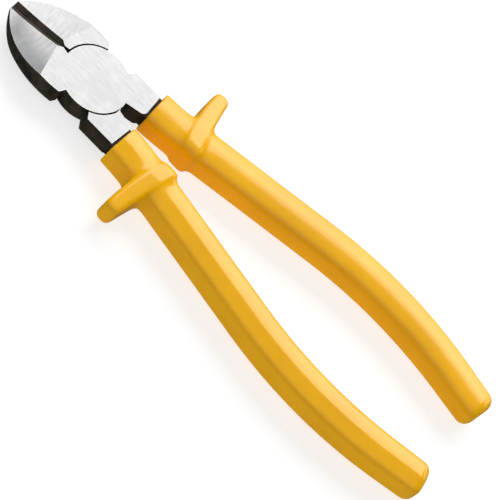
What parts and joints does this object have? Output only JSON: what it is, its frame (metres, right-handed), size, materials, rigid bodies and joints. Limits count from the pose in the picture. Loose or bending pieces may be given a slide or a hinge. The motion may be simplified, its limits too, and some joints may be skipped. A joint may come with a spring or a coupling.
{
  "type": "diagonal cutting pliers",
  "caption": "Diagonal cutting pliers with a rivet lap joint, ground bevelled jaws and moulded insulating sleeves with finger guards.",
  "frame": {"origin": "on the rivet axis, in the flat ground underside of the head; the lap plane is 3.5 mm above it", "axes": "+Z along the rivet axis, out of the face where the upper boss shows; +X from the rivet towards the handles; the jaws close on the plane Y = 0"},
  "size_m": [0.1989, 0.0644, 0.014],
  "materials": {
    "forged_steel": "ground bright on both flat faces, dark scale on the edges",
    "rivet_steel": "ground flush",
    "sleeve_plastic": "satin"
  },
  "bodies": {
    "upper_lever": {"upper_half": "forged_steel", "pivot_rivet": "rivet_steel", "upper_grip": "sleeve_plastic"},
    "lower_lever": {"lower_half": "forged_steel", "lower_grip": "sleeve_plastic"}
  },
  "joints": [
    {"name": "jaw_hinge", "type": "hinge", "parent": "upper_lever", "child": "lower_lever", "pos_m": [0, 0, 0], "axis": [0, 0, -1], "range_deg": [0, 45]}
  ]
}
